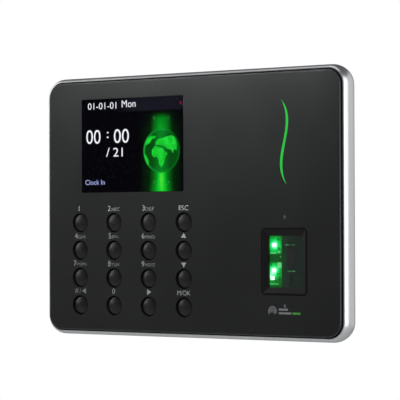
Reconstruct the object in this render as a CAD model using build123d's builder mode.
"""Wall-hung fingerprint time and access terminal: wall plate, silver-trimmed case, colour display,
sixteen-key keypad, optical fingerprint reader, S-shaped indicator light and the electronics inside.

Frame, in millimetres: X to the right of someone facing the terminal, Z up, Y into the wall. The
origin is on the wall, behind the middle of the case. A "level" is a distance out from the wall, so
the flat front face at level 31 lies at Y = -31.
"""

from build123d import *
import os

os.makedirs("parts", exist_ok=True)

# ---- case ----
case_width = 163.9  # over the silver trim
case_height = 120.4
front_level = 31.0  # flat front face
seat_gap = 0.1  # between fixed pieces that sit in or on one another
free_gap = 0.3  # round anything that moves or is put in loosely

trim_reveal = 2.4  # silver that shows beyond the cover, all round
trim_groove = 0.6  # dark joint between the cover's side and the trim
trim_corner = 9.0
trim_front_level = 29.6
trim_back_level = 21.0
trim_widest_level = 25.2
trim_back_draw = 0.9  # how far the trim's outside turns in again at its back
trim_flange = 4.0  # ledge clamped between the two covers
trim_flange_thickness = 1.5

cover_wall = 2.2
cover_side_wall = 2.0
cover_edge = 0.8  # rounding of the cover's front edge

rear_level = 1.0  # flat back of the case
rear_wall = 2.0
rear_inset = 0.8  # rear cover's rim, inside the front cover's outline
rear_taper = 12.0  # how far each side leans in from rim to back
rear_corner = 10.0
rear_edge = 1.2

# ---- wall plate and its lock ----
plate_thickness = 1.5
plate_width = 88.0
plate_top = 42.0
plate_bottom = -34.0
plate_play = 0.7  # room round the plate in the case's recess
lift_travel = 7.0
hook_width = 10.0
hook_reach = 5.0  # height of a hook's upturned tip above its root
hook_spread = 72.0
hook_heights = (28.0, -8.0)
wall_hole_radius = 2.3
wall_hole_spread = 68.0
wall_hole_heights = (14.0, -27.0)
cable_window_width = 40.0
cable_window_height = 20.0
cable_window_z = -22.0
tongue_width = 12.0
tongue_from_bottom = 6.7  # lower edge of the tongue to the bottom of the case
tab_reach = 10.0
lock_screw_level = 6.0
lock_screw_radius = 1.45
lock_screw_length = 9.6

# ---- display ----
screen_width = 57.6  # lit area of a 2.8 inch panel
screen_height = 43.2
screen_from_left = 22.16  # lit area's edge to the case's edge
screen_from_top = 10.66
lens_border = 0.1
glass_border = 1.5  # display glass beyond the lit area, in a pocket behind the cover
lens_thickness = 1.1
glass_thickness = 1.5
lcd_width = 69.2
lcd_height = 50.0
lcd_thickness = 3.0

# ---- keypad ----
key_names = (
    ("1", "2", "3", "esc"),
    ("4", "5", "6", "up"),
    ("7", "8", "9", "down"),
    ("left", "0", "right", "ok"),
)
key_pitch_x = 19.68
key_pitch_z = 12.8
key_from_left = 20.9
key_below_screen = 14.18
key_radius = 4.1
key_gap = 0.45  # between a key and the edge of its hole
key_recess = 0.9  # key rim below the front face
key_crown = 0.75
key_flange_overlap = 0.95  # flange beyond the edge of the hole
key_flange_thickness = 1.0
key_travel = 1.0
mat_web = 1.0
dome_squeeze = 0.55  # dome height left when a key is fully down
dome_margin = 0.1
board_thickness = 1.6

# ---- fingerprint reader ----
sensor_from_right = 30.75
sensor_from_bottom = 34.95
bezel_width = 23.0
bezel_height = 28.8
bezel_corner = 1.8
bezel_flange = 2.0
window_width = 17.3
window_height = 22.5
window_recess = 1.0
window_thickness = 1.2
window_ledge = 0.9
tray_depth = 12.0
tray_wall = 1.5

# ---- indicator light ----
guide_width = 1.2
guide_top_from_top = 14.5
guide_length = 37.2
guide_swing = 1.65
indicator_screw_margin = 3.0  # its board's screws, beyond the blade's ends

# ---- boards, sockets and sound ----
main_board_level = 17.5
main_board_from_left = 7.95
main_board_from_top = 15.9
main_board_right = 16.0  # clear of the fingerprint reader's tray
main_board_setback = 0.6  # board edge behind the faces of its sockets
bay_width = 56.0
bay_top = -14.0
bay_bottom = -42.0
bay_floor_level = 18.5
bay_wall = 1.6
lan_x = 0.0
lan_height = 12.8
dc_x = -16.0
usb_from_top = 48.2
usb_inset = 7.1  # mouth of the socket, inside the front cover's outline
speaker_radius = 14.0
speaker_thickness = 5.0
speaker_z = 12.0
speaker_lead_rise = 10.3  # leads above the middle of the speaker
tamper_x = -4.0
tamper_z = 24.0
reset_z = 20.0
plunger_radius = 1.5

# ---- places that follow from those ----
left = -case_width / 2
right = case_width / 2
top = case_height / 2
bottom = -case_height / 2
cover_width = case_width - 2 * trim_reveal
cover_height = case_height - 2 * trim_reveal
cover_corner = trim_corner - trim_reveal
cover_inside_level = front_level - cover_wall
cover_rim_level = trim_back_level + trim_flange_thickness + seat_gap
rear_rim_width = cover_width - 2 * rear_inset
rear_rim_height = cover_height - 2 * rear_inset
rear_inside_level = plate_thickness + plate_play + rear_wall

screen_x = left + screen_from_left + screen_width / 2
screen_z = top - screen_from_top - screen_height / 2
screen_bottom = screen_z - screen_height / 2
lens_width = screen_width + 2 * lens_border
lens_height = screen_height + 2 * lens_border
glass_width = screen_width + 2 * glass_border
glass_height = screen_height + 2 * glass_border
lens_back_level = front_level - lens_thickness
glass_back_level = lens_back_level - seat_gap - glass_thickness
lcd_front_level = min(glass_back_level, cover_inside_level - seat_gap) - seat_gap
lcd_back_level = lcd_front_level - lcd_thickness

key_hole_radius = key_radius + key_gap
key_flange_radius = key_hole_radius + key_flange_overlap
dome_radius = key_radius + dome_margin
dome_height = key_travel + dome_squeeze
key_columns = [left + key_from_left + key_pitch_x * column for column in range(4)]
key_rows = [screen_bottom - key_below_screen - key_pitch_z * row for row in range(4)]
keypad_x = (key_columns[0] + key_columns[3]) / 2
keypad_z = (key_rows[0] + key_rows[3]) / 2
keypad_width = 3 * key_pitch_x + 2 * key_flange_radius + 2.0
keypad_height = 3 * key_pitch_z + 2 * key_flange_radius + 1.0
key_flange_level = cover_inside_level - free_gap
key_back_level = key_flange_level - key_flange_thickness
key_rim_level = front_level - key_recess
dome_level = key_back_level - 0.05
mat_front_level = dome_level - dome_height
mat_back_level = mat_front_level - mat_web
keypad_board_level = mat_back_level - seat_gap
keypad_post_x = key_pitch_x
keypad_post_z = key_pitch_z

sensor_x = right - sensor_from_right
sensor_z = bottom + sensor_from_bottom
window_level = front_level - window_recess
bezel_back_level = window_level - 0.3 - window_thickness - 1.4
bezel_flange_level = cover_inside_level - seat_gap
tray_width = bezel_width + 3.4
tray_height = bezel_height + 3.0
tray_front_level = bezel_back_level - seat_gap
tray_back_level = tray_front_level - tray_depth
tray_floor_level = tray_back_level + tray_wall
led_board_level = window_level - 6.0
led_board_width = 7.6
led_board_x = sensor_x - tray_width / 2 + tray_wall + free_gap + led_board_width / 2
sensor_post_z = tray_height / 2 + 3.6

guide_x = sensor_x + 0.1
guide_top = top - guide_top_from_top
guide_z = guide_top - guide_length / 2
indicator_screws = guide_length + 2 * indicator_screw_margin

socket_face_z = bay_top + bay_wall + seat_gap
main_board_left = left + main_board_from_left
main_board_top = top - main_board_from_top
main_board_bottom = socket_face_z + main_board_setback
main_board_width = main_board_right - main_board_left
main_board_height = main_board_top - main_board_bottom
main_board_x = (main_board_left + main_board_right) / 2
main_board_z = (main_board_top + main_board_bottom) / 2
main_board_front = main_board_level + board_thickness
board_post_x = main_board_width - 7.0
board_post_z = main_board_height - 10.0
case_screw_x = case_width / 2 - 11.0
case_screw_z = case_height / 2 - 10.7
case_screw_seat = trim_back_level - 2.0
speaker_x = sensor_x + 0.8
reset_x = left + 30.5
usb_x = left + trim_reveal + usb_inset
usb_z = top - usb_from_top
tongue_bottom = bottom + tongue_from_bottom
hook_tip_level = rear_inside_level + 0.5


def layer(level):
    """Plane parallel to the wall, seen from the front: X right, Z up, extruding towards the viewer."""
    return Plane.XZ.offset(level)


def round_about(x, z):
    """Half-section plane through the line (x, z): first coordinate is radius, second is level."""
    return Plane(origin=(x, 0, z), x_dir=(1, 0, 0), z_dir=(0, 0, -1))


def line_out(x, z):
    """Line that stands out of the wall at (x, z)."""
    return Axis((x, 0, z), (0, -1, 0))


def save(piece, name):
    """Labels a finished piece and writes it as its own file."""
    piece.part.label = name
    export_step(piece.part, "parts/" + name + ".step")


def rear_size(level):
    """Width and height of the rear cover's outside at a level: it leans in towards the wall."""
    lean = 2 * rear_taper * (trim_back_level - level) / (trim_back_level - rear_level)
    return rear_rim_width - lean, rear_rim_height - lean


def guide_outline(gap):
    """S-shaped outline, pointed at both ends. A gap spreads its sides and squares its ends."""
    side_way = guide_width / 2
    ends = guide_length / 2
    bends = ((guide_swing, 9.8), (guide_swing * 0.35, 1.6), (-guide_swing * 0.85, -9.2))
    for side in (-1, 1):
        shift = guide_x + side * gap
        points = [(shift - 1.4, guide_z + ends)]
        points += [(shift + x + side * side_way, guide_z + z) for x, z in bends]
        points += [(shift + 1.2, guide_z - ends)]
        Spline(points)
    if gap:
        for x, z, out in ((guide_x - 1.4, guide_z + ends, gap), (guide_x + 1.2, guide_z - ends, -gap)):
            Polyline((x - gap, z), (x - gap, z + out), (x + gap, z + out), (x + gap, z))


# ============ wall plate ============
# Pressed steel sheet. Four hooks are punched out of it and bent up, and a tongue at the bottom is
# bent out under the case to take the lock screw.
with BuildPart() as wall_plate:
    with BuildSketch(layer(0)):
        with Locations((0, (plate_top + plate_bottom) / 2)):
            RectangleRounded(plate_width, plate_top - plate_bottom, 4.0)
        with Locations((0, tongue_bottom)):
            Rectangle(tongue_width, plate_bottom - tongue_bottom + 2.0, align=(Align.CENTER, Align.MIN))
        with Locations((0, cable_window_z)):
            RectangleRounded(cable_window_width, cable_window_height, 3.0, mode=Mode.SUBTRACT)
        for height in wall_hole_heights:
            with Locations((-wall_hole_spread / 2, height), (wall_hole_spread / 2, height)):
                Circle(wall_hole_radius, mode=Mode.SUBTRACT)
        for height in hook_heights:
            with Locations((-hook_spread / 2, height), (hook_spread / 2, height)):
                Rectangle(hook_width, plate_thickness + hook_reach + 2.5,
                          align=(Align.CENTER, Align.MIN), mode=Mode.SUBTRACT)
        with Locations((tamper_x, tamper_z + lift_travel / 2)):
            SlotOverall(lift_travel + 2 * plunger_radius + 1.4, 2 * plunger_radius + 1.4, rotation=90,
                        mode=Mode.SUBTRACT)
    extrude(amount=plate_thickness)
    for height in hook_heights:
        with BuildSketch(layer(0)):
            with Locations((-hook_spread / 2, height), (hook_spread / 2, height)):
                Rectangle(hook_width, plate_thickness, align=(Align.CENTER, Align.MIN))
        extrude(amount=hook_tip_level + plate_thickness)
        with BuildSketch(layer(hook_tip_level)):
            with Locations((-hook_spread / 2, height), (hook_spread / 2, height)):
                Rectangle(hook_width, plate_thickness + hook_reach, align=(Align.CENTER, Align.MIN))
        extrude(amount=plate_thickness)
    with BuildSketch(layer(0)):
        with Locations((0, tongue_bottom)):
            Rectangle(tongue_width, plate_thickness, align=(Align.CENTER, Align.MIN))
    extrude(amount=tab_reach)
    with BuildSketch(Plane.XY.offset(tongue_bottom)):
        with Locations((0, -lock_screw_level)):
            Circle(lock_screw_radius + free_gap)
    extrude(amount=plate_thickness, mode=Mode.SUBTRACT)
save(wall_plate, "wall_plate")

# ============ lock screw ============
# Pan-head screw put up from below, through the tongue and into the case. Its socket is a blind
# hexagon. The thread is plain.
with BuildPart() as security_screw:
    with BuildSketch(Plane.XY.offset(tongue_bottom - 0.05)):
        with Locations((0, -lock_screw_level)):
            Circle(2.75)
    extrude(amount=-2.0)
    fillet(security_screw.edges().group_by(Axis.Z)[0], 0.5)
    with BuildSketch(Plane.XY.offset(tongue_bottom - 0.06)):
        with Locations((0, -lock_screw_level)):
            Circle(lock_screw_radius)
    extrude(amount=lock_screw_length)
    with BuildSketch(Plane.XY.offset(tongue_bottom - 2.05)):
        with Locations((0, -lock_screw_level)):
            RegularPolygon(1.1, 6)
    extrude(amount=1.2, mode=Mode.SUBTRACT)
save(security_screw, "security_screw")

# ============ front cover ============
# Black moulding: a flat face with rounded edges, side walls down to the trim's ledge, and posts on
# its inside for the boards and for the case screws.
with BuildPart() as front_cover:
    with BuildSketch(layer(cover_rim_level)):
        RectangleRounded(cover_width, cover_height, cover_corner)
    extrude(amount=front_level - cover_rim_level)
    fillet(front_cover.edges().group_by(Axis.Y)[0], cover_edge)
    with BuildSketch(layer(cover_rim_level)):
        RectangleRounded(cover_width - 2 * cover_side_wall, cover_height - 2 * cover_side_wall,
                         cover_corner - cover_side_wall)
    extrude(amount=cover_inside_level - cover_rim_level, mode=Mode.SUBTRACT)
    # posts for the four case screws
    with BuildSketch(layer(cover_rim_level)):
        with GridLocations(2 * case_screw_x, 2 * case_screw_z, 2, 2):
            Circle(3.2)
    extrude(amount=cover_inside_level - cover_rim_level + 0.1)
    # posts for the main board
    with BuildSketch(layer(main_board_front + seat_gap)):
        with Locations((main_board_x, main_board_z)):
            with GridLocations(board_post_x, board_post_z, 2, 2):
                Circle(2.4)
    extrude(amount=cover_inside_level - main_board_front)
    # posts for the keypad board
    with BuildSketch(layer(keypad_board_level + seat_gap)):
        with Locations((keypad_x, keypad_z)):
            with GridLocations(2 * keypad_post_x, 2 * keypad_post_z, 2, 2):
                Circle(2.4)
    extrude(amount=cover_inside_level - keypad_board_level)
    # posts for the fingerprint reader
    with BuildSketch(layer(tray_front_level + seat_gap)):
        with Locations((sensor_x, sensor_z)):
            with GridLocations(1, 2 * sensor_post_z, 1, 2):
                Circle(2.4)
    extrude(amount=cover_inside_level - tray_front_level)
    # posts for the indicator board
    with BuildSketch(layer(keypad_board_level + seat_gap)):
        with Locations((guide_x, guide_z)):
            with GridLocations(1, indicator_screws, 1, 2):
                Circle(2.4)
    extrude(amount=cover_inside_level - keypad_board_level)
    # pilot holes in the posts
    with BuildSketch(layer(cover_rim_level)):
        with GridLocations(2 * case_screw_x, 2 * case_screw_z, 2, 2):
            Circle(1.5)
    extrude(amount=6.0, mode=Mode.SUBTRACT)
    with BuildSketch(layer(main_board_front)):
        with Locations((main_board_x, main_board_z)):
            with GridLocations(board_post_x, board_post_z, 2, 2):
                Circle(1.0)
    extrude(amount=6.0, mode=Mode.SUBTRACT)
    with BuildSketch(layer(keypad_board_level)):
        with Locations((keypad_x, keypad_z)):
            with GridLocations(2 * keypad_post_x, 2 * keypad_post_z, 2, 2):
                Circle(1.0)
        with Locations((guide_x, guide_z)):
            with GridLocations(1, indicator_screws, 1, 2):
                Circle(1.0)
    extrude(amount=4.5, mode=Mode.SUBTRACT)
    with BuildSketch(layer(tray_front_level)):
        with Locations((sensor_x, sensor_z)):
            with GridLocations(1, 2 * sensor_post_z, 1, 2):
                Circle(1.0)
    extrude(amount=4.5, mode=Mode.SUBTRACT)
    # display window
    with BuildSketch(layer(cover_inside_level - 0.5)):
        with Locations((screen_x, screen_z)):
            RectangleRounded(lens_width + 2 * seat_gap, lens_height + 2 * seat_gap, 0.6)
    extrude(amount=cover_wall + 1.0, mode=Mode.SUBTRACT)
    # pocket behind the window for the display glass
    with BuildSketch(layer(cover_inside_level - 0.5)):
        with Locations((screen_x, screen_z)):
            Rectangle(glass_width + 2 * free_gap, glass_height + 2 * free_gap)
    extrude(amount=lens_back_level - cover_inside_level + 0.5, mode=Mode.SUBTRACT)
    # key holes
    with BuildSketch(layer(cover_inside_level - 0.5)):
        with Locations((keypad_x, keypad_z)):
            with GridLocations(key_pitch_x, key_pitch_z, 4, 4):
                Circle(key_hole_radius)
    extrude(amount=cover_wall + 1.0, mode=Mode.SUBTRACT)
    # opening for the fingerprint reader's bezel
    with BuildSketch(layer(cover_inside_level - 0.5)):
        with Locations((sensor_x, sensor_z)):
            RectangleRounded(bezel_width + 2 * free_gap, bezel_height + 2 * free_gap,
                             bezel_corner + free_gap)
    extrude(amount=cover_wall + 1.0, mode=Mode.SUBTRACT)
    # slot for the light guide
    with BuildSketch(layer(cover_inside_level - 0.5)):
        with BuildLine():
            guide_outline(seat_gap)
        make_face()
    extrude(amount=cover_wall + 1.0, mode=Mode.SUBTRACT)
save(front_cover, "front_cover")

# ============ trim frame ============
# Satin silver ring with a bulged outside. Its ledge is clamped between the front and rear covers.
with BuildPart() as trim_frame:
    with BuildLine(layer(trim_back_level)) as trim_path:
        FilletPolyline((0, top), (right, top), (right, bottom), (0, bottom), radius=trim_corner)
    wall_in = trim_groove - trim_reveal
    ledge_in = wall_in - trim_flange
    rim_height = trim_front_level - trim_back_level
    bulge_height = trim_widest_level - trim_back_level
    with BuildSketch(Plane(origin=(0, -trim_back_level, top), x_dir=(0, 0, 1), z_dir=(1, 0, 0))):
        with BuildLine():
            EllipticalCenterArc((wall_in, bulge_height), -wall_in, rim_height - bulge_height,
                                start_angle=0, arc_size=90)
            TangentArc((0, bulge_height), (-trim_back_draw, 0), tangent=(0, -1))
            Polyline((-trim_back_draw, 0), (ledge_in, 0), (ledge_in, trim_flange_thickness),
                     (wall_in, trim_flange_thickness), (wall_in, rim_height))
        make_face()
    sweep(path=trim_path.wires()[0])
    mirror(about=Plane.YZ)
save(trim_frame, "trim_frame")

# ============ rear cover ============
# Black tray that leans in towards the wall. Its back has a recess for the wall plate, four hook
# slots, a deep bay for the cables, a speaker grille and recessed holes for the case screws.
with BuildPart() as rear_cavity:
    inner_width, inner_height = rear_size(rear_inside_level)
    with BuildSketch(layer(rear_inside_level)):
        RectangleRounded(inner_width - 2 * rear_wall, inner_height - 2 * rear_wall,
                         rear_corner - rear_wall)
    with BuildSketch(layer(trim_back_level)):
        RectangleRounded(rear_rim_width - 2 * rear_wall, rear_rim_height - 2 * rear_wall,
                         cover_corner - rear_wall)
    loft()
    with BuildSketch(layer(0)):
        with GridLocations(2 * case_screw_x, 2 * case_screw_z, 2, 2):
            Circle(4.2)
    extrude(amount=trim_back_level, mode=Mode.SUBTRACT)
    with BuildSketch(layer(0)):
        with Locations((0, (bay_top + bay_bottom) / 2)):
            Rectangle(bay_width + 2 * bay_wall, bay_top - bay_bottom + 2 * bay_wall)
    extrude(amount=bay_floor_level + bay_wall, mode=Mode.SUBTRACT)
    with BuildSketch(layer(0)):
        with Locations((0, bay_bottom)):
            Rectangle(tongue_width, 20.0, align=(Align.CENTER, Align.MAX))
    extrude(amount=lock_screw_level + 4.5, mode=Mode.SUBTRACT)

with BuildPart() as rear_cover:
    back_width, back_height = rear_size(rear_level)
    with BuildSketch(layer(rear_level)):
        RectangleRounded(back_width, back_height, rear_corner)
    with BuildSketch(layer(trim_back_level - seat_gap)):
        RectangleRounded(rear_rim_width, rear_rim_height, cover_corner)
    loft()
    fillet(rear_cover.edges().group_by(Axis.Y)[-1], rear_edge)
    add(rear_cavity.part, mode=Mode.SUBTRACT)
    # cable bay, open at the back
    with BuildSketch(layer(0)):
        with Locations((0, (bay_top + bay_bottom) / 2)):
            RectangleRounded(bay_width, bay_top - bay_bottom, 1.5)
    extrude(amount=bay_floor_level, mode=Mode.SUBTRACT)
    # recess for the wall plate, with room to lift the case off it
    recess_top = plate_top + plate_play
    recess_bottom = plate_bottom - plate_play - lift_travel
    with BuildSketch(layer(0)):
        with Locations((0, (recess_top + recess_bottom) / 2)):
            RectangleRounded(plate_width + 2 * plate_play, recess_top - recess_bottom, 4.5)
        with Locations((0, recess_bottom + 1.0)):
            Rectangle(tongue_width + 2 * plate_play, 30.0, align=(Align.CENTER, Align.MAX))
    extrude(amount=plate_thickness + plate_play, mode=Mode.SUBTRACT)
    # hook slots: each slot's top edge hangs on a hook's root
    slot_height = plate_thickness + seat_gap + lift_travel + free_gap
    with BuildSketch(layer(0)):
        for height in hook_heights:
            slot_top = height + plate_thickness + seat_gap
            with Locations((-hook_spread / 2, slot_top), (hook_spread / 2, slot_top)):
                Rectangle(hook_width + 2 * free_gap, slot_height, align=(Align.CENTER, Align.MAX))
    extrude(amount=rear_inside_level + 0.5, mode=Mode.SUBTRACT)
    # cable way out of the bay's bottom
    with BuildSketch(layer(0)):
        with Locations((-bay_width / 2 + 10.0, bay_bottom + 1.0)):
            Rectangle(10.0, 30.0, align=(Align.CENTER, Align.MAX))
    extrude(amount=9.0, mode=Mode.SUBTRACT)
    # case screws: head pockets from the back and shank holes
    with BuildSketch(layer(0)):
        with GridLocations(2 * case_screw_x, 2 * case_screw_z, 2, 2):
            Circle(3.1)
    extrude(amount=case_screw_seat, mode=Mode.SUBTRACT)
    with BuildSketch(layer(0)):
        with GridLocations(2 * case_screw_x, 2 * case_screw_z, 2, 2):
            Circle(1.7)
    extrude(amount=trim_back_level, mode=Mode.SUBTRACT)
    # windows for the sockets in the bay's top wall
    with BuildSketch(Plane.XY.offset(bay_top - 1.0)):
        with Locations((lan_x, -main_board_level + lan_height / 2)):
            Rectangle(16.6, lan_height + 0.6)
        with Locations((dc_x, -main_board_level + 5.5)):
            Rectangle(9.6, 11.6)
    extrude(amount=bay_wall + 2.0, mode=Mode.SUBTRACT)
    # window for the USB socket in the left side
    with BuildSketch(Plane.YZ.offset(left - 1.0)):
        with Locations((-main_board_level + 3.55, usb_z)):
            RectangleRounded(8.3, 14.4, 0.8)
    extrude(amount=trim_reveal + usb_inset + 4.0, mode=Mode.SUBTRACT)
    # speaker grille
    with BuildSketch(layer(0)):
        with Locations((speaker_x, speaker_z)):
            Circle(0.9)
            with PolarLocations(3.4, 6):
                Circle(0.9)
            with PolarLocations(6.6, 12):
                Circle(0.9)
    extrude(amount=rear_inside_level + 0.5, mode=Mode.SUBTRACT)
    # holes for the tamper plunger and the reset button
    with BuildSketch(layer(0)):
        with Locations((tamper_x, tamper_z), (reset_x, reset_z)):
            Circle(plunger_radius + free_gap)
    extrude(amount=rear_inside_level + 0.5, mode=Mode.SUBTRACT)
    # seat of the brass insert that takes the lock screw
    with BuildSketch(Plane.XY.offset(bottom)):
        with Locations((0, -lock_screw_level)):
            Circle(2.1)
    extrude(amount=tongue_bottom + plate_thickness + 8.6 - bottom, mode=Mode.SUBTRACT)
save(rear_cover, "rear_cover")

# Brass sleeve moulded into the rear cover's bottom, in line with the lock screw.
with BuildPart() as screw_insert:
    with BuildSketch(Plane.XY.offset(tongue_bottom + plate_thickness + 3.6)):
        with Locations((0, -lock_screw_level)):
            Circle(2.1 - 0.02)
            Circle(lock_screw_radius + 0.05, mode=Mode.SUBTRACT)
    extrude(amount=4.8)
save(screw_insert, "screw_insert")

# Blank foil label on the back.
with BuildPart() as rating_label:
    with BuildSketch(layer(rear_level - 0.02)):
        with Locations((speaker_x + 4.0, -24.0)):
            RectangleRounded(18.0, 26.0, 1.0)
    extrude(amount=-0.15)
save(rating_label, "rating_label")

# ============ display ============
# Clear lens, flush with the front face, bonded to the glass of the LCD; the backlight frame behind.
with BuildPart() as display_lens:
    with BuildSketch(layer(lens_back_level)):
        with Locations((screen_x, screen_z)):
            RectangleRounded(lens_width, lens_height, 0.5)
    extrude(amount=lens_thickness)
save(display_lens, "display_lens")

with BuildPart() as lcd_glass:
    with BuildSketch(layer(glass_back_level)):
        with Locations((screen_x, screen_z)):
            Rectangle(glass_width, glass_height)
    extrude(amount=glass_thickness)
save(lcd_glass, "lcd_glass")

with BuildPart() as lcd_frame:
    with BuildSketch(layer(lcd_back_level)):
        with Locations((screen_x, screen_z)):
            RectangleRounded(lcd_width, lcd_height, 1.0)
    extrude(amount=lcd_thickness)
save(lcd_frame, "lcd_frame")

flex_back_level = main_board_front + 1.4
flex_turn_z = screen_z - lcd_height / 2 - 2.0
header_width = 22.0
flex_end_z = flex_turn_z + 9.0
with BuildPart() as lcd_flex:
    with BuildSketch(Plane.YZ.offset(screen_x - 10.0)):
        with BuildLine() as flex_line:
            FilletPolyline((-lcd_back_level - 2.2, screen_z - lcd_height / 2 - seat_gap),
                           (-lcd_back_level - 2.2, flex_turn_z),
                           (-flex_back_level, flex_turn_z),
                           (-flex_back_level, flex_end_z - seat_gap), radius=1.0)
            offset(amount=0.1, side=Side.LEFT, closed=True)
        make_face()
    extrude(amount=20.0)
save(lcd_flex, "lcd_flex")

# ============ keypad ============
# Sixteen separate black caps, each with a crowned top and a flange that keeps it behind the cover.
for row_names, key_z in zip(key_names, key_rows):
    for key_name, key_x in zip(row_names, key_columns):
        with BuildPart() as key_cap:
            with BuildSketch(round_about(key_x, key_z)) as section:
                with BuildLine():
                    Polyline((0, key_rim_level + key_crown), (0, key_back_level),
                             (key_flange_radius, key_back_level), (key_flange_radius, key_flange_level),
                             (key_radius, key_flange_level), (key_radius, key_rim_level))
                    TangentArc((0, key_rim_level + key_crown), (key_radius, key_rim_level),
                               tangent=(1, 0))
                make_face()
                rim_corners = section.vertices().filter_by(lambda corner: abs(corner.X - key_radius) < 0.01)
                fillet(rim_corners.sort_by(Axis.Y)[-1], 0.4)
            revolve(axis=line_out(key_x, key_z))
        save(key_cap, "key_" + key_name)

# Moulded silicone sheet with a collapsing dome under each key.
with BuildPart() as keypad_mat:
    with BuildSketch(layer(mat_back_level)):
        with Locations((keypad_x, keypad_z)):
            RectangleRounded(keypad_width, keypad_height, 2.0)
            with GridLocations(2 * keypad_post_x, 2 * keypad_post_z, 2, 2):
                Circle(2.4 + free_gap, mode=Mode.SUBTRACT)
    extrude(amount=mat_web)
    with BuildSketch(layer(mat_front_level)):
        with Locations((keypad_x, keypad_z)):
            with GridLocations(key_pitch_x, key_pitch_z, 4, 4):
                Circle(dome_radius)
    extrude(amount=dome_height, taper=40)
    with BuildSketch(layer(mat_back_level)):
        with Locations((keypad_x, keypad_z)):
            with GridLocations(key_pitch_x, key_pitch_z, 4, 4):
                Circle(dome_radius - 0.7)
    extrude(amount=mat_web + 0.5, taper=20, mode=Mode.SUBTRACT)
save(keypad_mat, "keypad_mat")

with BuildPart() as keypad_board:
    with BuildSketch(layer(keypad_board_level)):
        with Locations((keypad_x, keypad_z)):
            Rectangle(keypad_width, keypad_height)
            with GridLocations(2 * keypad_post_x, 2 * keypad_post_z, 2, 2):
                Circle(1.1, mode=Mode.SUBTRACT)
    extrude(amount=-board_thickness)
save(keypad_board, "keypad_board")

keypad_back_level = keypad_board_level - board_thickness
keypad_header_z = keypad_z + keypad_height / 2 - 3.0
key_flex_x = key_columns[0] + 2.0
main_header_z = keypad_header_z + 14.0
with BuildPart() as keypad_flex:
    with BuildSketch(Plane.YZ.offset(key_flex_x)):
        with BuildLine() as flex_line:
            FilletPolyline((-keypad_back_level + 1.1, keypad_header_z + 1.5 + seat_gap),
                           (-keypad_back_level + 1.1, keypad_header_z + 5.5),
                           (-flex_back_level, keypad_header_z + 8.5),
                           (-flex_back_level, main_header_z - 1.5 - seat_gap), radius=1.0)
            offset(amount=0.1, side=Side.LEFT, closed=True)
        make_face()
    extrude(amount=10.0)
save(keypad_flex, "keypad_flex")

# ============ main board and what is soldered to it ============
with BuildPart() as main_board:
    with BuildSketch(layer(main_board_level)):
        with Locations((main_board_x, main_board_z)):
            Rectangle(main_board_width, main_board_height)
            with GridLocations(board_post_x, board_post_z, 2, 2):
                Circle(1.1, mode=Mode.SUBTRACT)
    extrude(amount=board_thickness)
save(main_board, "main_board")

chip_level = main_board_level - 0.05
with BuildPart() as board_chips:
    with BuildSketch(layer(chip_level)):
        with Locations((main_board_x + 14.0, main_board_z + 12.0)):
            Rectangle(14.0, 14.0)
        with Locations((main_board_x - 4.0, main_board_z + 14.0)):
            Rectangle(11.0, 8.0)
        with Locations((main_board_x - 29.0, main_board_z - 21.5)):
            Rectangle(7.0, 5.0)
        with Locations((main_board_x + 28.0, main_board_z + 18.0)):
            Rectangle(5.0, 6.0)
    extrude(amount=-1.4)
save(board_chips, "board_chips")

with BuildPart() as wifi_module:
    with BuildSketch(layer(chip_level)):
        with Locations((main_board_x - 31.0, main_board_z + 16.0)):
            Rectangle(15.0, 13.0)
    extrude(amount=-0.8)
    with BuildSketch(layer(chip_level - 0.8)):
        with Locations((main_board_x - 29.5, main_board_z + 16.0)):
            Rectangle(10.5, 11.0)
    extrude(amount=-1.6)
save(wifi_module, "wifi_module")

cell_x = main_board_x - 7.0
cell_z = main_board_z - 12.0
with BuildPart() as cell_holder:
    with BuildSketch(layer(chip_level)):
        with Locations((cell_x, cell_z)):
            Circle(11.6)
    extrude(amount=-4.6)
    with BuildSketch(layer(chip_level - 1.0)):
        with Locations((cell_x, cell_z)):
            Circle(10.2)
    extrude(amount=-4.0, mode=Mode.SUBTRACT)
save(cell_holder, "cell_holder")

with BuildPart() as coin_cell:
    with BuildSketch(layer(chip_level - 1.1)):
        with Locations((cell_x, cell_z)):
            Circle(10.0)
    extrude(amount=-3.2)
    fillet(coin_cell.edges().group_by(Axis.Y)[-1], 0.4)
save(coin_cell, "coin_cell")

# Network socket, mouth down, with its latch notch.
lan_level = chip_level - lan_height
with BuildPart() as lan_jack:
    with BuildSketch(layer(chip_level)):
        with Locations((lan_x, socket_face_z)):
            Rectangle(16.0, 21.0, align=(Align.CENTER, Align.MIN))
    extrude(amount=-lan_height)
    with BuildSketch(Plane.XY.offset(socket_face_z - 0.5)):
        with Locations((lan_x, -lan_level - 5.2)):
            Rectangle(11.9, 7.0)
        with Locations((lan_x, -lan_level - 9.6)):
            Rectangle(6.2, 2.4)
    extrude(amount=15.5, mode=Mode.SUBTRACT)
save(lan_jack, "lan_jack")

# Power socket, mouth down: a round well with a centre pin.
dc_level = chip_level - 5.45
dc_pin_radius = 1.05
dc_well_depth = 9.5
with BuildPart() as dc_jack:
    with BuildSketch(layer(chip_level)):
        with Locations((dc_x, socket_face_z)):
            Rectangle(9.0, 14.2, align=(Align.CENTER, Align.MIN))
    extrude(amount=-10.9)
    with BuildSketch(Plane.XY.offset(socket_face_z)):
        with Locations((dc_x, -dc_level)):
            Circle(3.0)
            Circle(dc_pin_radius, mode=Mode.SUBTRACT)
    extrude(amount=dc_well_depth, mode=Mode.SUBTRACT)
save(dc_jack, "dc_jack")

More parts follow.
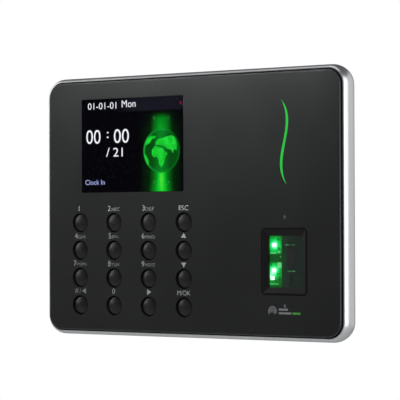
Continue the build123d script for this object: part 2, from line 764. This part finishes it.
# USB socket in the left side, with its inner tongue.
with BuildPart() as usb_port:
    with BuildSketch(Plane.YZ.offset(usb_x)):
        with Locations((-main_board_level + 3.6, usb_z)):
            Rectangle(7.0, 13.2)
    extrude(amount=14.0)
    with BuildSketch(Plane.YZ.offset(usb_x - 0.5)):
        with Locations((-main_board_level + 3.6, usb_z)):
            Rectangle(5.2, 12.0)
    extrude(amount=11.0, mode=Mode.SUBTRACT)
    with BuildSketch(Plane.YZ.offset(usb_x + 0.8)):
        with Locations((-main_board_level + 2.2, usb_z)):
            Rectangle(1.8, 11.0)
    extrude(amount=10.5)
save(usb_port, "usb_port")

# Plug-in headers: two flat-cable ones on the front, four wire ones at the right edge.
right_header_x = main_board_right - 4.0
sensor_lead_z = main_board_z - 3.0
speaker_lead_z = speaker_z + speaker_lead_rise
indicator_lead_z = main_board_z + 16.0
with BuildPart() as board_headers:
    with BuildSketch(layer(main_board_front + 0.05)):
        with Locations((screen_x, flex_end_z + 1.5)):
            Rectangle(header_width, 3.0)
        with Locations((key_flex_x + 5.0, main_header_z)):
            Rectangle(12.0, 3.0)
        with Locations((right_header_x, indicator_lead_z)):
            Rectangle(5.0, 5.0)
    extrude(amount=2.4)
    with BuildSketch(layer(keypad_back_level - 0.05)):
        with Locations((key_flex_x + 5.0, keypad_header_z)):
            Rectangle(12.0, 3.0)
    extrude(amount=-2.0)
    with BuildSketch(layer(chip_level)):
        with Locations((right_header_x, sensor_lead_z), (right_header_x, speaker_lead_z)):
            Rectangle(5.0, 6.0)
    extrude(amount=-5.0)
save(board_headers, "board_headers")

# Two tact switches on the main board, one for tamper and one for reset.
switch_height = 3.4
with BuildPart() as board_switches:
    with BuildSketch(layer(chip_level)):
        with Locations((tamper_x, tamper_z), (reset_x, reset_z)):
            Rectangle(6.0, 6.0)
    extrude(amount=-switch_height)
save(board_switches, "board_switches")

# Reset button: a stem with a collar, set back in its hole.
press_gap = 1.3
stem_front_level = chip_level - switch_height - press_gap
collar_level = rear_inside_level + free_gap
with BuildPart() as reset_button:
    with BuildSketch(round_about(reset_x, reset_z)):
        with BuildLine():
            Polyline((0, rear_level + 0.8), (plunger_radius, rear_level + 0.8),
                     (plunger_radius, collar_level), (plunger_radius + 1.0, collar_level),
                     (plunger_radius + 1.0, collar_level + 1.0), (plunger_radius, collar_level + 1.0),
                     (plunger_radius, stem_front_level), (0, stem_front_level),
                     (0, rear_level + 0.8))
        make_face()
    revolve(axis=line_out(reset_x, reset_z))
save(reset_button, "reset_button")

# Tamper plunger: held in by the wall, it stands out when the case leaves the wall.
tamper_out = 1.5
with BuildPart() as tamper_plunger:
    with BuildSketch(round_about(tamper_x, tamper_z)):
        with BuildLine():
            Polyline((0, 0.1), (plunger_radius, 0.1),
                     (plunger_radius, collar_level + tamper_out),
                     (plunger_radius + 1.0, collar_level + tamper_out),
                     (plunger_radius + 1.0, collar_level + tamper_out + 1.0),
                     (plunger_radius - 0.5, collar_level + tamper_out + 1.0),
                     (plunger_radius - 0.5, stem_front_level), (0, stem_front_level), (0, 0.1))
        make_face()
    revolve(axis=line_out(tamper_x, tamper_z))
save(tamper_plunger, "tamper_plunger")

# Coil spring round the plunger, between its collar and the switch.
spring_start = collar_level + tamper_out + 1.15
spring_length = chip_level - switch_height - 0.3 - spring_start
spring_wire = 0.25
with BuildPart() as tamper_spring:
    with BuildLine() as coil:
        Helix(pitch=1.1, height=spring_length - 2 * spring_wire, radius=1.7,
              center=(tamper_x, -spring_start - spring_wire, tamper_z), direction=(0, -1, 0))
    with BuildSketch(Plane(origin=coil.line @ 0, z_dir=coil.line % 0)):
        Circle(spring_wire)
    sweep(path=coil.line, is_frenet=True)
save(tamper_spring, "tamper_spring")

# ============ fingerprint reader ============
# Bezel like a picture frame: a thin flush rim, then four faces that slope in to the window.
with BuildPart() as sensor_bezel:
    with BuildSketch(layer(bezel_back_level)):
        with Locations((sensor_x, sensor_z)):
            RectangleRounded(bezel_width, bezel_height, bezel_corner)
    extrude(amount=front_level - bezel_back_level)
    with BuildSketch(layer(bezel_flange_level)):
        with Locations((sensor_x, sensor_z)):
            RectangleRounded(bezel_width + 2 * bezel_flange, bezel_height + 2 * bezel_flange,
                             bezel_corner + bezel_flange)
    extrude(amount=-1.2)
    rim = 0.7
    with BuildSketch(layer(window_level)):
        with Locations((sensor_x, sensor_z)):
            Rectangle(window_width, window_height)
    with BuildSketch(layer(front_level)):
        with Locations((sensor_x, sensor_z)):
            Rectangle(bezel_width - 2 * rim, bezel_height - 2 * rim)
    loft(mode=Mode.SUBTRACT)
    with BuildSketch(layer(bezel_back_level)):
        with Locations((sensor_x, sensor_z)):
            Rectangle(window_width, window_height)
    extrude(amount=window_level - bezel_back_level, mode=Mode.SUBTRACT)
    with BuildSketch(layer(bezel_back_level)):
        with Locations((sensor_x, sensor_z)):
            Rectangle(window_width + 2 * window_ledge, window_height + 2 * window_ledge)
    extrude(amount=window_level - 0.3 - bezel_back_level, mode=Mode.SUBTRACT)
save(sensor_bezel, "sensor_bezel")

window_play = 2 * (window_ledge - seat_gap)
with BuildPart() as sensor_window:
    with BuildSketch(layer(window_level - 0.3 - 0.05)):
        with Locations((sensor_x, sensor_z)):
            Rectangle(window_width + window_play, window_height + window_play)
    extrude(amount=-window_thickness)
save(sensor_window, "sensor_window")

# Black tray behind the bezel, with an ear at each end and a hole in its floor for the camera.
camera_x = sensor_x + 4.0
camera_radius = 3.2
with BuildPart() as sensor_housing:
    with BuildSketch(layer(tray_back_level)):
        with Locations((sensor_x, sensor_z)):
            RectangleRounded(tray_width, tray_height, 1.5)
    extrude(amount=tray_depth)
    with BuildSketch(layer(tray_front_level)):
        with Locations((sensor_x, sensor_z)):
            SlotOverall(2 * sensor_post_z + 6.0, 6.0, rotation=90)
    extrude(amount=-1.5)
    with BuildSketch(layer(tray_floor_level)):
        with Locations((sensor_x, sensor_z)):
            Rectangle(tray_width - 2 * tray_wall, tray_height - 2 * tray_wall)
    extrude(amount=tray_depth, mode=Mode.SUBTRACT)
    with BuildSketch(layer(tray_back_level)):
        with Locations((camera_x, sensor_z)):
            Circle(camera_radius + free_gap)
    extrude(amount=tray_wall, mode=Mode.SUBTRACT)
    with BuildSketch(layer(tray_front_level)):
        with Locations((sensor_x, sensor_z)):
            with GridLocations(1, 2 * sensor_post_z, 1, 2):
                Circle(1.1)
    extrude(amount=-1.5, mode=Mode.SUBTRACT)
save(sensor_housing, "sensor_housing")

# Board at the left of the tray that lights the finger, raised on a block of its own.
led_board_height = tray_height - 2 * tray_wall - 2 * free_gap
with BuildPart() as sensor_led_board:
    with BuildSketch(layer(led_board_level)):
        with Locations((led_board_x, sensor_z)):
            Rectangle(led_board_width, led_board_height)
    extrude(amount=-1.0)
    with BuildSketch(layer(tray_floor_level + seat_gap)):
        with Locations((led_board_x, sensor_z)):
            Rectangle(led_board_width - 3.0, led_board_height - 4.0)
    extrude(amount=led_board_level - 1.0 - tray_floor_level - seat_gap)
save(sensor_led_board, "sensor_led_board")

led_places = ((-1.3, 7.2), (-1.5, -4.0), (-2.2, -7.4))
with BuildPart() as sensor_leds:
    with BuildSketch(layer(led_board_level + 0.02)):
        with Locations([(led_board_x + x, sensor_z + z) for x, z in led_places]):
            Rectangle(1.6, 1.6)
    extrude(amount=0.7)
save(sensor_leds, "sensor_leds")

# Glass prism under the window, with a slanting lower face that turns the image to the camera.
prism_left = led_board_x + led_board_width / 2 + free_gap
prism_right = sensor_x + tray_width / 2 - tray_wall - free_gap
prism_top = bezel_back_level - 0.4
prism_bottom = prism_top - 4.6
prism_height = tray_height - 2 * tray_wall - 2 * free_gap
with BuildPart() as sensor_prism:
    with BuildSketch(Plane.XY.offset(sensor_z - prism_height / 2)):
        with BuildLine():
            Polyline((prism_left, -prism_top), (prism_right, -prism_top),
                     (prism_right, -prism_bottom), (prism_left, -prism_top + 1.6),
                     (prism_left, -prism_top))
        make_face()
    extrude(amount=prism_height)
save(sensor_prism, "sensor_prism")

with BuildPart() as sensor_camera_board:
    with BuildSketch(layer(tray_back_level - seat_gap)):
        with Locations((sensor_x, sensor_z)):
            Rectangle(tray_width - 3.0, tray_height - 5.0)
    extrude(amount=-1.2)
save(sensor_camera_board, "sensor_camera_board")

with BuildPart() as sensor_lens_barrel:
    with BuildSketch(layer(tray_back_level)):
        with Locations((camera_x, sensor_z)):
            Circle(camera_radius)
    extrude(amount=5.0)
    with BuildSketch(layer(tray_back_level + 5.0)):
        with Locations((camera_x, sensor_z)):
            Circle(1.6)
    extrude(amount=-1.2, mode=Mode.SUBTRACT)
    fillet(sensor_lens_barrel.edges().group_by(Axis.Y)[0], 0.3)
save(sensor_lens_barrel, "sensor_lens_barrel")

# Sheathed lead from the reader's board to the main board.
lead_level = main_board_level - 2.5
camera_board_back = tray_back_level - seat_gap - 1.2
sensor_lead_x = sensor_x - 5.0
lead_radius = 1.0
with BuildPart() as sensor_cable:
    with BuildLine() as lead_path:
        FilletPolyline((sensor_lead_x, -(camera_board_back - 2.4), sensor_z + 6.0),
                       (sensor_lead_x, -(camera_board_back - 2.4), sensor_lead_z),
                       (right_header_x + 2.5 + seat_gap, -(camera_board_back - 2.4), sensor_lead_z),
                       radius=7.0)
    with BuildSketch(Plane(origin=lead_path.line @ 0, z_dir=lead_path.line % 0)):
        Circle(lead_radius)
    sweep(path=lead_path.wires()[0])
save(sensor_cable, "sensor_cable")

# ============ indicator light ============
# Clear green acrylic blade in the cover's S-shaped slot, with a foot that keeps it behind the face.
guide_foot = 1.2
guide_foot_end = 0.5
with BuildPart() as light_guide:
    with BuildSketch(layer(cover_inside_level - seat_gap)):
        with BuildLine():
            guide_outline(0)
        make_face()
    extrude(amount=cover_wall + seat_gap - 0.05)
    with BuildSketch(layer(cover_inside_level - seat_gap)):
        with Locations((guide_x + 0.2, guide_z)):
            RectangleRounded(7.0, guide_length + 2 * guide_foot_end, 1.5)
    extrude(amount=-guide_foot)
save(light_guide, "light_guide")

with BuildPart() as indicator_board:
    with BuildSketch(layer(keypad_board_level)):
        with Locations((guide_x, guide_z)):
            RectangleRounded(10.0, indicator_screws + 6.0, 1.0)
            with GridLocations(1, indicator_screws, 1, 2):
                Circle(1.1, mode=Mode.SUBTRACT)
    extrude(amount=-board_thickness)
save(indicator_board, "indicator_board")

with BuildPart() as indicator_leds:
    with BuildSketch(layer(keypad_board_level + 0.02)):
        with Locations((guide_x, guide_z)):
            with GridLocations(1, guide_length / 5, 1, 5):
                Rectangle(1.6, 3.0)
    extrude(amount=0.8)
save(indicator_leds, "indicator_leds")

indicator_lead_level = main_board_front + 1.3
with BuildPart() as indicator_leads:
    with BuildSketch(Plane.XY.offset(indicator_lead_z)):
        with BuildLine():
            FilletPolyline((guide_x - 2.0, -(keypad_board_level - board_thickness - seat_gap)),
                           (guide_x - 2.0, -indicator_lead_level),
                           (right_header_x + 2.5 + seat_gap, -indicator_lead_level), radius=1.5)
            offset(amount=0.5, side=Side.LEFT, closed=True)
        make_face()
    extrude(amount=2.0, both=True)
save(indicator_leads, "indicator_leads")

# ============ speaker ============
speaker_level = rear_inside_level + 0.3
with BuildPart() as speaker:
    with BuildSketch(layer(speaker_level)):
        with Locations((speaker_x, speaker_z)):
            Circle(speaker_radius)
            Circle(speaker_radius - 2.0, mode=Mode.SUBTRACT)
    extrude(amount=1.0)
    with BuildSketch(layer(speaker_level + 1.0)):
        with Locations((speaker_x, speaker_z)):
            Circle(speaker_radius)
    extrude(amount=0.8)
    with BuildSketch(layer(speaker_level + 1.8)):
        with Locations((speaker_x, speaker_z)):
            Circle(speaker_radius * 0.6)
    extrude(amount=speaker_thickness - 1.8)
save(speaker, "speaker")

speaker_terminal_x = speaker_x - speaker_radius * 0.75
with BuildPart() as speaker_leads:
    with BuildSketch(Plane.XY.offset(speaker_lead_z)):
        with BuildLine():
            FilletPolyline((speaker_terminal_x, -(speaker_level + 1.8 + seat_gap)),
                           (speaker_terminal_x, -lead_level),
                           (right_header_x + 2.5 + seat_gap, -lead_level), radius=3.0)
            offset(amount=0.5, side=Side.LEFT, closed=True)
        make_face()
    extrude(amount=1.0, both=True)
save(speaker_leads, "speaker_leads")

# ============ fasteners ============
with BuildPart() as case_screws:
    with BuildSketch(layer(case_screw_seat - 0.05)):
        with GridLocations(2 * case_screw_x, 2 * case_screw_z, 2, 2):
            Circle(2.7)
    extrude(amount=-2.0)
    with BuildSketch(layer(case_screw_seat - 0.1)):
        with GridLocations(2 * case_screw_x, 2 * case_screw_z, 2, 2):
            Circle(1.45)
    extrude(amount=9.2)
save(case_screws, "case_screws")

small_shank = 0.95
with BuildPart() as board_screws:
    with BuildSketch(layer(main_board_level - 0.05)):
        with Locations((main_board_x, main_board_z)):
            with GridLocations(board_post_x, board_post_z, 2, 2):
                Circle(2.0)
    extrude(amount=-1.2)
    with BuildSketch(layer(main_board_level - 0.1)):
        with Locations((main_board_x, main_board_z)):
            with GridLocations(board_post_x, board_post_z, 2, 2):
                Circle(small_shank)
    extrude(amount=5.5)
    with BuildSketch(layer(keypad_back_level - 0.05)):
        with Locations((keypad_x, keypad_z)):
            with GridLocations(2 * keypad_post_x, 2 * keypad_post_z, 2, 2):
                Circle(2.0)
        with Locations((guide_x, guide_z)):
            with GridLocations(1, indicator_screws, 1, 2):
                Circle(2.0)
    extrude(amount=-1.2)
    with BuildSketch(layer(keypad_back_level - 0.1)):
        with Locations((keypad_x, keypad_z)):
            with GridLocations(2 * keypad_post_x, 2 * keypad_post_z, 2, 2):
                Circle(small_shank)
        with Locations((guide_x, guide_z)):
            with GridLocations(1, indicator_screws, 1, 2):
                Circle(small_shank)
    extrude(amount=5.0)
    with BuildSketch(layer(tray_front_level - 1.5 - 0.05)):
        with Locations((sensor_x, sensor_z)):
            with GridLocations(1, 2 * sensor_post_z, 1, 2):
                Circle(2.0)
    extrude(amount=-1.2)
    with BuildSketch(layer(tray_front_level - 1.6)):
        with Locations((sensor_x, sensor_z)):
            with GridLocations(1, 2 * sensor_post_z, 1, 2):
                Circle(small_shank)
    extrude(amount=5.0)
save(board_screws, "board_screws")
